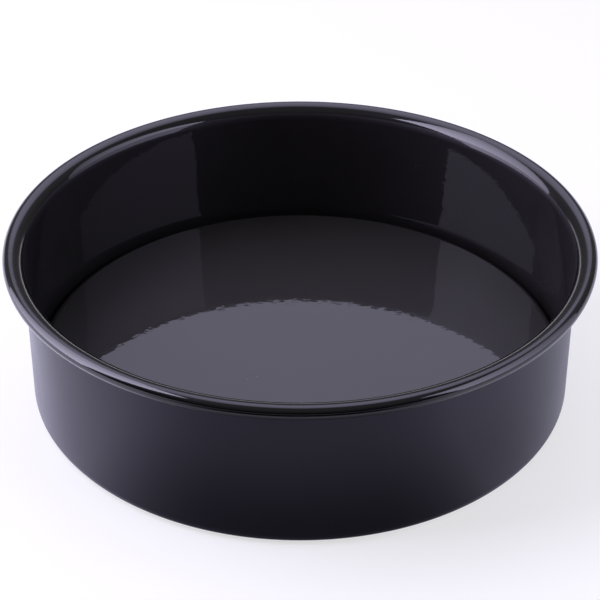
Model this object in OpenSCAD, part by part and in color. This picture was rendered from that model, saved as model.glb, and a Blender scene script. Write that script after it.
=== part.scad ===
// Deep round cake pan: a drawn wall with a rolled rim, and a loose base that pushes up and lifts out.
// The origin is the centre of the pan's underside, with +Z up. All lengths are in millimetres.

/* [Pan wall] */
// Inside diameter of the wall
inner_d = 230; // [150:1:320]
// Height from the underside to the top of the rim
pan_h = 71.5; // [45:0.5:120]
// Thickness of the steel sheet with its coating
sheet_t = 1; // [0.6:0.1:1.4]
// Outside radius of the corner between the wall and the ledge
corner_r = 5.2; // [3:0.1:8]
// Width of the ledge, from the inside of the wall to the edge of the bottom hole
ledge_w = 14; // [12:0.5:20]

/* [Rolled rim] */
// Radius of the shoulder where the inside of the wall turns outwards, up to the crest
rim_shoulder_r = 6.4; // [5.5:0.1:7]
// Height of the rolled bead
bead_h = 5.8; // [5:0.1:7]
// Gap left between the rolled edge and the wall
curl_gap = 0.8; // [0.4:0.1:1.2]

/* [Loose base] */
// Height of the top of the base above the underside of the pan
floor_z = 15.5; // [12:0.1:25]
// Gap all round between the base and the wall
base_gap = 1; // [0.5:0.1:1.5]
// Outside radius of the rounded edge round the floor
floor_edge_r = 4.5; // [1.5:0.1:5]
// Width of the flat foot that stands on the ledge
foot_w = 4.5; // [3:0.5:6]

/* [Hidden] */
$fn = 180;
// Radii measured from the pan's axis
wall_in_r = inner_d / 2;
wall_out_r = wall_in_r + sheet_t;
hole_r = wall_in_r - ledge_w;
base_r = wall_in_r - base_gap;
// The crest of the rim, where the shoulder passes into the bead, and the centres of both bends under it
crest_r = wall_in_r + rim_shoulder_r;
shoulder_centre_z = pan_h - rim_shoulder_r;
bead_r = bead_h / 2;
bead_centre_z = pan_h - bead_r;
// The foot's corner follows the pan's corner from inside, so that it clears it
foot_corner_r = corner_r + base_gap;
foot_corner_centre_r = base_r - foot_corner_r;
foot_in_r = foot_corner_centre_r - foot_w;
floor_edge_centre_r = base_r - floor_edge_r;

// A quarter of a ring in the profile, which turns between two sheet faces.
// right and up are 1 or -1 and say which quarter round the centre it is.
module bend(centre_r, centre_z, outside_r, right, up) {
    translate([centre_r, centre_z])
        intersection() {
            difference() {
                circle(r = outside_r);
                circle(r = outside_r - sheet_t);
            }
            translate([right > 0 ? 0 : -outside_r, up > 0 ? 0 : -outside_r])
                square(outside_r);
        }
}

// A straight stretch of sheet in the profile, from one corner to the opposite one
module strip(low_r, low_z, high_r, high_z) {
    translate([low_r, low_z])
        square([high_r - low_r, high_z - low_z]);
}

module ledge_profile() {
    strip(hole_r, 0, wall_out_r - corner_r, sheet_t);
    bend(wall_out_r - corner_r, corner_r, corner_r, 1, -1);
}

module wall_profile() {
    strip(wall_in_r, corner_r, wall_out_r, shoulder_centre_z);
}

module rim_profile() {
    bend(crest_r, shoulder_centre_z, rim_shoulder_r, -1, 1);
    bend(crest_r, bead_centre_z, bead_r, 1, 1);
    bend(crest_r, bead_centre_z, bead_r, 1, -1);
    strip(wall_out_r + curl_gap, pan_h - bead_h, crest_r, pan_h - bead_h + sheet_t);
}

module pan_body() {
    color("#2b2930")
        rotate_extrude() {
            ledge_profile();
            wall_profile();
            rim_profile();
        }
}

module floor_profile() {
    strip(0, floor_z - sheet_t, floor_edge_centre_r, floor_z);
    bend(floor_edge_centre_r, floor_z - floor_edge_r, floor_edge_r, 1, 1);
}

module skirt_profile() {
    foot_corner_z = sheet_t + foot_corner_r;
    strip(base_r - sheet_t, foot_corner_z, base_r, floor_z - floor_edge_r);
    bend(foot_corner_centre_r, foot_corner_z, foot_corner_r, 1, -1);
    strip(foot_in_r, sheet_t, foot_corner_centre_r, sheet_t + sheet_t);
}

module loose_base() {
    color("#201f24")
        rotate_extrude() {
            floor_profile();
            skirt_profile();
        }
}

pan_body();
loose_base();
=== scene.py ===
import math

import bmesh
import bpy
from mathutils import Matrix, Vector


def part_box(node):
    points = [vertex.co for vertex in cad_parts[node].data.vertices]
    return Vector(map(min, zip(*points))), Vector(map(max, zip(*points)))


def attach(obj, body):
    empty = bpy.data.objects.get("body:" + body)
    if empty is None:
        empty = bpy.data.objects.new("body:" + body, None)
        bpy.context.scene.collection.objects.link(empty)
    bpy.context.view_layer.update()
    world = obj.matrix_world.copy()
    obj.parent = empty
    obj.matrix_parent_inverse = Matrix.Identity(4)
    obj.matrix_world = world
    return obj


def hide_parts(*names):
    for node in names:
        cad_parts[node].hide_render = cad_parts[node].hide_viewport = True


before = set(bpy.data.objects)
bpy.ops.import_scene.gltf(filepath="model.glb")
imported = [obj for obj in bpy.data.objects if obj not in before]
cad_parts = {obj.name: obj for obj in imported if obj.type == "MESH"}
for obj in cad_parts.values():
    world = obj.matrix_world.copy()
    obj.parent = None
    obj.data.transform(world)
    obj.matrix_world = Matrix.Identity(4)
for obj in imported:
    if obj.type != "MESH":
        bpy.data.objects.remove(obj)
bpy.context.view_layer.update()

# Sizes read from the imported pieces
PAN_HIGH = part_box("pan_body")[1]
BASE_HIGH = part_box("loose_base")[1]
RIM_R = PAN_HIGH[0]
PAN_H = PAN_HIGH[2]
BASE_R = BASE_HIGH[0]
FLOOR_Z = BASE_HIGH[2]

# Sizes of the sheet and its bends
MM = 0.001
SHEET = 1.0 * MM
HALF_SHEET = SHEET / 2
WALL_IN_R = 115.0 * MM
LEDGE_W = 14.0 * MM
CORNER_R = 5.2 * MM
BASE_GAP = 1.0 * MM
SHOULDER_R = 6.4 * MM
CURL_GAP = 0.8 * MM
FLOOR_EDGE_R = 4.5 * MM
FOOT_W = 4.5 * MM
HOLE_R = WALL_IN_R - LEDGE_W
WALL_OUT_R = WALL_IN_R + SHEET

# How finely the pieces are lathed
ROUND_STEPS = 400
BEND_STEP = math.radians(4.5)
STRAIGHT_STEP = 9 * MM
EDGE_STEPS = 4
EDGE_ROUND_SHARE = 0.5
ON_AXIS = 0.001 * MM

# The finishes' places among a piece's materials, and how much of the shoulder the wall's finish climbs
GLOSS = 0
SATIN = 1
WALL = 2
WALL_FINISH_SHARE = 0.5

# The four coatings: the body's colour and haze, the clear gloss coat over it, the waves and any sheen
FLOOR_COATING = dict(colour=(0.0228, 0.0218, 0.0187), haze_roughness=0.55, haze_ior=1.24,
                     coat=1.0, wave_height=0.026 * MM)
RIM_COATING = dict(colour=(0.0030, 0.0027, 0.0027), haze_roughness=0.25, haze_ior=1.22,
                   coat=1.0, wave_height=0.014 * MM)
WALL_COATING = dict(colour=(0.0043, 0.0037, 0.0024), haze_roughness=0.55, haze_ior=1.45,
                    coat=0.42, wave_height=0.028 * MM)
OUTSIDE_COATING = dict(colour=(0.0088, 0.0083, 0.0098), haze_roughness=0.23, haze_ior=1.50,
                       coat=0.0, wave_height=0.004 * MM, sheen=0.155)

# What the coatings share. A noise is given by its scale, its detail and its roughness.
COAT_ROUGHNESS = 0.03
COAT_IOR = 1.6
GLINT_TINT = (0.86, 0.82, 1.0)
SHEEN_TINT = (0.72, 0.68, 1.0)
SHEEN_ROUGHNESS = 0.35
MOTTLE = (14.0, 4.0, 0.6)
MOTTLE_DARK_SHARE = 0.8
MOTTLE_LIGHT_SHARE = 1.2
UNEVEN = (35.0, 3.0, 0.55)
UNEVEN_SPAN = (0.3, 0.7)
UNEVEN_LOW_SHARE = 0.9
UNEVEN_HIGH_SHARE = 1.1
WAVES = (340.0, 1.5, 0.4)
GRAIN = (1400.0, 2.0, 0.5)
GRAIN_HEIGHT = 0.004 * MM
DUST_COLOUR = (0.09, 0.09, 0.10)
DUST_SCALE = 330.0
DUST_SIZE = 0.14
DUST_PATCHES = (66.0, 2.0, 0.5)
DUST_PATCH_SPAN = (0.60, 0.80)

# The table, a hair below the pan's underside, and its lift towards white
TABLE_R = 30.0
TABLE_STEPS = 96
TABLE_DROP = 0.1 * MM
TABLE_COLOUR = (0.42, 0.42, 0.42)
TABLE_LIFT = 0.63
TABLE_GLOSS_TINT = (0.91, 0.90, 1.10)

# The dark card, painted shade that only gloss sees: it stands in for the pan's shadow on the table in front,
# the darker table further out and a dimmer table to the right. Its height, its half width, and three distances
# from the pan's axis with its darkness at the first two. At the third it is full.
CARD_Z = 0.5 * MM
CARD_END = 1.2
CARD_NEAR = 125 * MM
CARD_THIN = 200 * MM
CARD_FAR = 270 * MM
CARD_NEAR_SHARE = 0.85
CARD_THIN_SHARE = 0.45
# The card by direction, as the forward or rightward part of a unit vector: where it is full and where it
# ends. To the right it only ever reaches a share.
CARD_FULL = 0.97
CARD_NONE = 0.55
CARD_RIGHT_NONE = 0.20
CARD_RIGHT_FULL = 0.70
CARD_RIGHT_SHARE = 0.35

# The surroundings: a dim room, lighter above and behind, with a pale strip low behind the pan
ROOM_COLOUR = (1.0, 0.97, 1.06)
ROOM_TOP = 0.18
ROOM_TOP_SPAN = (0.1, 1.0)
ROOM_BACK = 0.10
ROOM_BACK_SPAN = (0.0, 0.6)
STRIP = 0.90
STRIP_AZIMUTH = -5
STRIP_SPAN = (0.76, 0.84)
STRIP_HEIGHT_SPAN = (0.05, 0.16)
# The round glow above and behind the pan, and its brighter centre, each faded between two angles
GLOW_COLOUR = (0.94, 0.90, 1.26)
GLOW_ELEVATION = 57
GLOW = 0.84
GLOW_RINGS = (31, 24)
GLOW_CENTRE = 0.32
GLOW_CENTRE_RINGS = (22, 5)

# The two lamps: angles in degrees, sizes in metres, the radiance of the front edge and the rear edge's share
LAMP_COLOUR = (0.88, 0.83, 1.10)
LEFT_LAMP = dict(azimuth=-80, elevation=32, distance=1.2, width=1.17, height=1.6,
                 radiance=6.1, rear_share=0.30)
RIGHT_LAMP = dict(azimuth=97.5, elevation=22, distance=1.3, width=1.47, height=1.16,
                  radiance=2.95, rear_share=0.22)

# Camera: the photograph's view from the front, fitted to the rim, the wall and the bottom
CAMERA_TARGET = Vector((0, 0, 0.0384))
CAMERA_DISTANCE = 0.7925
CAMERA_ELEVATION = math.radians(33.17)
CAMERA_LENS = 110.58
CAMERA_SENSOR = 36.0
CAMERA_CLIP = 0.01


def stroke(start, heading, moves):
    """Walks a sheet's middle line in the (r, z) plane, and returns its points with their left-hand normals.

    A move is ("go", length) or ("turn", radius of the middle line, degrees, positive to the left).
    """
    r, z = start
    points = [(r, z, -math.sin(heading), math.cos(heading))]
    for move in moves:
        if move[0] == "go":
            count = max(1, math.ceil(move[1] / STRAIGHT_STEP))
            for _ in range(count):
                r += math.cos(heading) * move[1] / count
                z += math.sin(heading) * move[1] / count
                points.append((r, z, -math.sin(heading), math.cos(heading)))
            continue
        _, radius, degrees = move
        angle = math.radians(degrees)
        side = math.copysign(1, angle)
        centre_r = r - side * math.sin(heading) * radius
        centre_z = z + side * math.cos(heading) * radius
        count = max(2, math.ceil(abs(angle) / BEND_STEP))
        for step in range(1, count + 1):
            turned = heading + angle * step / count
            r = centre_r + side * math.sin(turned) * radius
            z = centre_z - side * math.cos(turned) * radius
            points.append((r, z, -math.sin(turned), math.cos(turned)))
        heading += angle
    return points


def cut_edge(point, forward):
    """Rounds a cut edge from the sheet's left face to its right; forward is 1 at the walk's end, else -1."""
    r, z, normal_r, normal_z = point
    edge = []
    for step in range(1, EDGE_STEPS):
        angle = math.pi * step / EDGE_STEPS
        side = math.cos(angle) * HALF_SHEET
        back = (math.sin(angle) - 1) * HALF_SHEET * EDGE_ROUND_SHARE
        edge.append((r + normal_r * side + normal_z * back * forward,
                     z + normal_z * side - normal_r * back * forward))
    return edge


def sheet_outline(points, starts_on_axis=False):
    """The closed outline of a sheet, as (r, z, finish): glossy on its left face, satin on the rest."""
    outline = [(r + nr * HALF_SHEET, z + nz * HALF_SHEET, GLOSS) for r, z, nr, nz in points]
    outline += [(r, z, SATIN) for r, z in cut_edge(points[-1], 1)]
    outline += [(r - nr * HALF_SHEET, z - nz * HALF_SHEET, SATIN) for r, z, nr, nz in reversed(points)]
    if not starts_on_axis:
        outline += [(r, z, SATIN) for r, z in reversed(cut_edge(points[0], -1))]
    return outline


def pan_outline():
    """The drawn body: ledge, corner, wall, shoulder, rolled bead and the end of its curl."""
    ledge = WALL_OUT_R - CORNER_R - HOLE_R
    wall = PAN_H - SHOULDER_R - CORNER_R
    bead_r = RIM_R - WALL_IN_R - SHOULDER_R
    curl = RIM_R - bead_r - (WALL_OUT_R + CURL_GAP)
    points = stroke((HOLE_R, HALF_SHEET), 0, [
        ("go", ledge),
        ("turn", CORNER_R - HALF_SHEET, 90),
        ("go", wall),
        ("turn", SHOULDER_R - HALF_SHEET, -90),
        ("turn", bead_r - HALF_SHEET, -180),
        ("go", curl),
    ])
    crest_r = WALL_IN_R + SHOULDER_R
    wall_top = PAN_H - SHOULDER_R * (1 - WALL_FINISH_SHARE)
    return [(r, z, WALL if finish == GLOSS and r < crest_r and z < wall_top else finish)
            for r, z, finish in sheet_outline(points)]


def base_outline():
    """The loose base: floor, rounded edge, skirt, foot corner and foot."""
    foot_corner_r = CORNER_R + BASE_GAP
    skirt = FLOOR_Z - FLOOR_EDGE_R - (SHEET + foot_corner_r)
    points = stroke((0, FLOOR_Z - HALF_SHEET), 0, [
        ("go", BASE_R - FLOOR_EDGE_R),
        ("turn", FLOOR_EDGE_R - HALF_SHEET, -90),
        ("go", skirt),
        ("turn", foot_corner_r - HALF_SHEET, -90),
        ("go", FOOT_W),
    ])
    return sheet_outline(points, starts_on_axis=True)


def add_object(name, mesh, materials):
    """Puts a finished bmesh into the scene as an object with its materials."""
    data = bpy.data.meshes.new(name)
    mesh.to_mesh(data)
    mesh.free()
    for material in materials:
        data.materials.append(material)
    made = bpy.data.objects.new(name, data)
    bpy.context.collection.objects.link(made)
    return made


def lathe(name, outline, materials):
    """Turns an outline about the Z axis. Points on the axis become one vertex with a fan of triangles."""
    mesh = bmesh.new()
    rings = []
    for r, z, _ in outline:
        if r < ON_AXIS:
            rings.append([mesh.verts.new((0, 0, z))])
            continue
        rings.append([mesh.verts.new((r * math.cos(2 * math.pi * k / ROUND_STEPS),
                                      r * math.sin(2 * math.pi * k / ROUND_STEPS), z))
                      for k in range(ROUND_STEPS)])
    following = rings[1:] + rings[:1]
    for low, high, point in zip(rings, following, outline):
        if len(low) == 1 and len(high) == 1:
            continue
        for k in range(ROUND_STEPS):
            after = (k + 1) % ROUND_STEPS
            if len(low) == 1:
                corners = (low[0], high[after], high[k])
            elif len(high) == 1:
                corners = (low[k], low[after], high[0])
            else:
                corners = (low[k], low[after], high[after], high[k])
            mesh.faces.new(corners).material_index = point[2]
    bmesh.ops.recalc_face_normals(mesh, faces=mesh.faces)
    piece = add_object(name, mesh, materials)
    polygons = piece.data.polygons
    polygons.foreach_set("use_smooth", [True] * len(polygons))
    return piece


def build_pan(materials):
    """The drawn body with its rolled rim."""
    piece = lathe("drawn_pan", pan_outline(), materials)
    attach(piece, "pan")
    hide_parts("pan_body")


def build_base(materials):
    """The base that lies on the ledge and lifts out."""
    piece = lathe("lift_out_base", base_outline(), materials)
    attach(piece, "base")
    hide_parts("loose_base")


def node(tree, kind, **sockets):
    """Adds a shader node and sets its input sockets by name, with _ for a space."""
    made = tree.nodes.new(kind)
    for name, value in sockets.items():
        made.inputs[name.replace("_", " ")].default_value = value
    return made


def new_material(name):
    """A material without nodes, and its node tree."""
    material = bpy.data.materials.new(name)
    material.use_nodes = True
    material.node_tree.nodes.clear()
    return material, material.node_tree


def send_out(tree, kind, shader):
    """Sends a shader to an output node of the kind that the tree needs."""
    output = node(tree, kind)
    tree.links.new(shader, output.inputs["Surface"])


def add_shaders(tree, first, second):
    """Adds two shaders up."""
    both = node(tree, "ShaderNodeAddShader")
    tree.links.new(first, both.inputs[0])
    tree.links.new(second, both.inputs[1])
    return both.outputs["Shader"]


def combine(tree, operation, first, second):
    """Works out one value from two."""
    made = node(tree, "ShaderNodeMath")
    made.operation = operation
    tree.links.new(first, made.inputs[0])
    tree.links.new(second, made.inputs[1])
    return made.outputs["Value"]


def ramp(tree, value, span, levels, interpolation="LINEAR"):
    """Goes from the first level to the second as the value crosses the span, and stays level outside it."""
    made = node(tree, "ShaderNodeMapRange",
                From_Min=span[0], From_Max=span[1], To_Min=levels[0], To_Max=levels[1])
    made.interpolation_type = interpolation
    tree.links.new(value, made.inputs["Value"])
    return made.outputs["Result"]


def smooth_ramp(tree, value, span, levels):
    """The same as a ramp, but with eased ends."""
    return ramp(tree, value, span, levels, "SMOOTHSTEP")


def vector_node(tree, operation, vector):
    """Adds a node that works on a vector."""
    made = node(tree, "ShaderNodeVectorMath")
    made.operation = operation
    tree.links.new(vector, made.inputs[0])
    return made


def split(tree, vector):
    """The X, Y and Z of a vector, by name."""
    made = node(tree, "ShaderNodeSeparateXYZ")
    tree.links.new(vector, made.inputs["Vector"])
    return made.outputs


def noise(tree, place, scale, detail, roughness):
    """A noise texture in the piece's own metres."""
    made = node(tree, "ShaderNodeTexNoise", Scale=scale, Detail=detail, Roughness=roughness)
    tree.links.new(place, made.inputs["Vector"])
    return made.outputs["Fac"]


def bump(tree, height, distance):
    """A bump node whose height is a texture."""
    made = node(tree, "ShaderNodeBump", Strength=1.0, Distance=distance)
    tree.links.new(height, made.inputs["Height"])
    return made


def blend_colour(tree, factor, first, second):
    """Mixes two colours; first and second are colours or sockets."""
    made = node(tree, "ShaderNodeMix")
    made.data_type = "RGBA"
    tree.links.new(factor, made.inputs["Factor"])
    for name, colour in (("A", first), ("B", second)):
        if isinstance(colour, tuple):
            made.inputs[name].default_value = (*colour, 1)
        else:
            tree.links.new(colour, made.inputs[name])
    return made.outputs["Result"]


def dust(tree, place):
    """Sparse round dust specks, less than a millimetre wide, that gather in patches."""
    cells = node(tree, "ShaderNodeTexVoronoi", Scale=DUST_SCALE)
    tree.links.new(place, cells.inputs["Vector"])
    size = ramp(tree, noise(tree, place, *DUST_PATCHES), DUST_PATCH_SPAN, (0.0, DUST_SIZE))
    return combine(tree, "LESS_THAN", cells.outputs["Distance"], size)


def coating(name, colour, haze_roughness, haze_ior, coat, wave_height, sheen=0.0):
    """Dark non-stick coating: a hazy body, a clear gloss layer unless coat is 0, faint waves and some dust."""
    material, tree = new_material(name)
    link = tree.links.new
    place = node(tree, "ShaderNodeTexCoord").outputs["Object"]
    shader = node(tree, "ShaderNodeBsdfPrincipled",
                  IOR=haze_ior, Specular_Tint=(*GLINT_TINT, 1),
                  Coat_Weight=coat, Coat_Roughness=COAT_ROUGHNESS, Coat_IOR=COAT_IOR,
                  Sheen_Weight=sheen, Sheen_Roughness=SHEEN_ROUGHNESS, Sheen_Tint=(*SHEEN_TINT, 1))

    darker = tuple(c * MOTTLE_DARK_SHARE for c in colour)
    lighter = tuple(c * MOTTLE_LIGHT_SHARE for c in colour)
    body = blend_colour(tree, noise(tree, place, *MOTTLE), darker, lighter)
    link(blend_colour(tree, dust(tree, place), body, DUST_COLOUR), shader.inputs["Base Color"])

    haze = (haze_roughness * UNEVEN_LOW_SHARE, haze_roughness * UNEVEN_HIGH_SHARE)
    link(ramp(tree, noise(tree, place, *UNEVEN), UNEVEN_SPAN, haze), shader.inputs["Roughness"])

    waves = bump(tree, noise(tree, place, *WAVES), wave_height)
    grain = bump(tree, noise(tree, place, *GRAIN), GRAIN_HEIGHT)
    link(waves.outputs["Normal"], grain.inputs["Normal"])
    link(grain.outputs["Normal"], shader.inputs["Normal"])
    link(waves.outputs["Normal"], shader.inputs["Coat Normal"])

    send_out(tree, "ShaderNodeOutputMaterial", shader.outputs["BSDF"])
    return material


def table_material():
    """Pale paint under a glow that only camera, glossy and transmission rays see. Shadows on it stay."""
    material, tree = new_material("table")
    paint = node(tree, "ShaderNodeBsdfDiffuse", Color=(*TABLE_COLOUR, 1))
    rays = node(tree, "ShaderNodeLightPath").outputs
    seen = combine(tree, "MAXIMUM", rays["Is Camera Ray"], rays["Is Glossy Ray"])
    seen = combine(tree, "MAXIMUM", seen, rays["Is Transmission Ray"])
    lift = node(tree, "ShaderNodeEmission")
    tint = blend_colour(tree, rays["Is Glossy Ray"], (1.0, 1.0, 1.0), TABLE_GLOSS_TINT)
    tree.links.new(tint, lift.inputs["Color"])
    tree.links.new(ramp(tree, seen, (0.0, 1.0), (0.0, TABLE_LIFT)), lift.inputs["Strength"])
    send_out(tree, "ShaderNodeOutputMaterial",
             add_shaders(tree, paint.outputs["BSDF"], lift.outputs["Emission"]))
    return material


def build_table():
    """A wide round table top."""
    mesh = bmesh.new()
    bmesh.ops.create_circle(mesh, cap_ends=True, radius=TABLE_R, segments=TABLE_STEPS)
    table = add_object("table", mesh, [table_material()])
    table.location.z = -TABLE_DROP


def painted_shade_material():
    """Painted shade: black where the card is full, clear where it ends, by distance and direction from the
    pan's axis.
    """
    material, tree = new_material("painted_shade_card")
    place = node(tree, "ShaderNodeTexCoord").outputs["Object"]
    reach = vector_node(tree, "LENGTH", place).outputs["Value"]
    axes = split(tree, vector_node(tree, "NORMALIZE", place).outputs["Vector"])
    near = smooth_ramp(tree, reach, (CARD_NEAR, CARD_THIN), (CARD_NEAR_SHARE, CARD_THIN_SHARE))
    far = smooth_ramp(tree, reach, (CARD_THIN, CARD_FAR), (0.0, 1 - CARD_THIN_SHARE))
    ahead = smooth_ramp(tree, axes["Y"], (-CARD_FULL, -CARD_NONE), (1.0, 0.0))
    aside = smooth_ramp(tree, axes["X"], (CARD_RIGHT_NONE, CARD_RIGHT_FULL), (0.0, CARD_RIGHT_SHARE))
    by_distance = combine(tree, "ADD", near, far)
    by_direction = combine(tree, "MAXIMUM", ahead, aside)
    clear = node(tree, "ShaderNodeBsdfTransparent")
    black = node(tree, "ShaderNodeEmission", Color=(0, 0, 0, 1), Strength=0.0)
    mix = node(tree, "ShaderNodeMixShader")
    tree.links.new(combine(tree, "MULTIPLY", by_distance, by_direction), mix.inputs["Fac"])
    tree.links.new(clear.outputs["BSDF"], mix.inputs[1])
    tree.links.new(black.outputs["Emission"], mix.inputs[2])
    send_out(tree, "ShaderNodeOutputMaterial", mix.outputs["Shader"])
    return material


def build_painted_shade_card():
    """Painted shade that only gloss sees: a dark card just above the table, full in front of the pan, thin to
    its right.
    """
    mesh = bmesh.new()
    square = ((-1, -1), (1, -1), (1, 1), (-1, 1))
    mesh.faces.new([mesh.verts.new((x * CARD_END, y * CARD_END, CARD_Z)) for x, y in square])
    card = add_object("painted_shade_card", mesh, [painted_shade_material()])
    for ray in ("camera", "diffuse", "shadow", "transmission", "volume_scatter"):
        setattr(card, "visible_" + ray, False)


def toward(azimuth, elevation):
    """The direction at an azimuth, 0 behind the pan and 90 to its right, and an elevation, in degrees."""
    a, e = math.radians(azimuth), math.radians(elevation)
    return Vector((math.sin(a) * math.cos(e), math.cos(a) * math.cos(e), math.sin(e)))


def closeness(tree, place, direction):
    """The cosine of the angle between the way that a ray looks and a direction."""
    made = vector_node(tree, "DOT_PRODUCT", place)
    made.inputs[1].default_value = direction
    return made.outputs["Value"]


def cosines(degrees):
    """The cosines of several angles."""
    return [math.cos(math.radians(angle)) for angle in degrees]


def room_level(tree, place):
    """The room's brightness: a rise upwards, a rise to the rear and the strip behind the pan."""
    axes = split(tree, place)
    above = smooth_ramp(tree, axes["Z"], ROOM_TOP_SPAN, (0.0, ROOM_TOP))
    rear = smooth_ramp(tree, axes["Y"], ROOM_BACK_SPAN, (0.0, ROOM_BACK))
    low = smooth_ramp(tree, axes["Z"], STRIP_HEIGHT_SPAN, (STRIP, 0.0))
    behind = smooth_ramp(tree, closeness(tree, place, toward(STRIP_AZIMUTH, 0)), STRIP_SPAN, (0.0, 1.0))
    strip = combine(tree, "MULTIPLY", low, behind)
    return combine(tree, "ADD", combine(tree, "ADD", above, rear), strip)


def glow_level(tree, place):
    """The glow's brightness: an even disc and its brighter centre."""
    facing = closeness(tree, place, toward(0, GLOW_ELEVATION))
    disc = smooth_ramp(tree, facing, cosines(GLOW_RINGS), (0.0, GLOW))
    centre = smooth_ramp(tree, facing, cosines(GLOW_CENTRE_RINGS), (0.0, GLOW_CENTRE))
    return combine(tree, "ADD", disc, centre)


def build_world():
    """Soft surroundings: the dim room and the large glow."""
    world = bpy.data.worlds.new("studio")
    bpy.context.scene.world = world
    world.use_nodes = True
    tree = world.node_tree
    tree.nodes.clear()
    place = node(tree, "ShaderNodeTexCoord").outputs["Generated"]
    room = node(tree, "ShaderNodeBackground", Color=(*ROOM_COLOUR, 1))
    glow = node(tree, "ShaderNodeBackground", Color=(*GLOW_COLOUR, 1))
    tree.links.new(room_level(tree, place), room.inputs["Strength"])
    tree.links.new(glow_level(tree, place), glow.inputs["Strength"])
    send_out(tree, "ShaderNodeOutputWorld",
             add_shaders(tree, room.outputs["Background"], glow.outputs["Background"]))


def softbox(name, azimuth, elevation, distance, width, height, radiance, rear_share):
    """An area lamp that faces the pan, and fades from its front edge to a share of that at its rear edge."""
    data = bpy.data.lights.new(name, "AREA")
    data.shape = "RECTANGLE"
    data.size = width
    data.size_y = height
    data.energy = radiance * math.pi * width * height
    data.color = LAMP_COLOUR
    data.use_nodes = True
    tree = data.node_tree
    tree.nodes.clear()
    across = split(tree, node(tree, "ShaderNodeNewGeometry").outputs["Parametric"])["X"]
    ends = (rear_share, 1.0) if azimuth < 0 else (1.0, rear_share)
    light = node(tree, "ShaderNodeEmission")
    tree.links.new(ramp(tree, across, (0.0, 1.0), ends), light.inputs["Strength"])
    send_out(tree, "ShaderNodeOutputLight", light.outputs["Emission"])
    lamp = bpy.data.objects.new(name, data)
    direction = toward(azimuth, elevation)
    lamp.location = Vector((0, 0, PAN_H)) + direction * distance
    lamp.rotation_euler = direction.to_track_quat("Z", "Y").to_euler()
    lamp.visible_camera = False
    bpy.context.collection.objects.link(lamp)


def build_lights():
    """One lamp on each side of the pan."""
    softbox("softbox_left", **LEFT_LAMP)
    softbox("softbox_right", **RIGHT_LAMP)


def build_camera():
    """The camera, in front of the pan and above it."""
    data = bpy.data.cameras.new("camera")
    data.lens = CAMERA_LENS
    data.sensor_width = CAMERA_SENSOR
    data.sensor_height = CAMERA_SENSOR
    data.sensor_fit = "HORIZONTAL"
    data.clip_start = CAMERA_CLIP
    camera = bpy.data.objects.new("camera", data)
    away = Vector((0, -math.cos(CAMERA_ELEVATION), math.sin(CAMERA_ELEVATION)))
    camera.location = CAMERA_TARGET + away * CAMERA_DISTANCE
    camera.rotation_euler = away.to_track_quat("Z", "Y").to_euler()
    bpy.context.collection.objects.link(camera)
    bpy.context.scene.camera = camera


build_camera()
floor_finish = coating("floor_coating", **FLOOR_COATING)
rim_finish = coating("rim_coating", **RIM_COATING)
wall_finish = coating("wall_coating", **WALL_COATING)
outside_finish = coating("satin_coating", **OUTSIDE_COATING)
build_pan((rim_finish, outside_finish, wall_finish))
build_base((floor_finish, outside_finish))
build_painted_shade_card()
build_table()
build_world()
build_lights()
bpy.context.scene.view_settings.view_transform = "Standard"
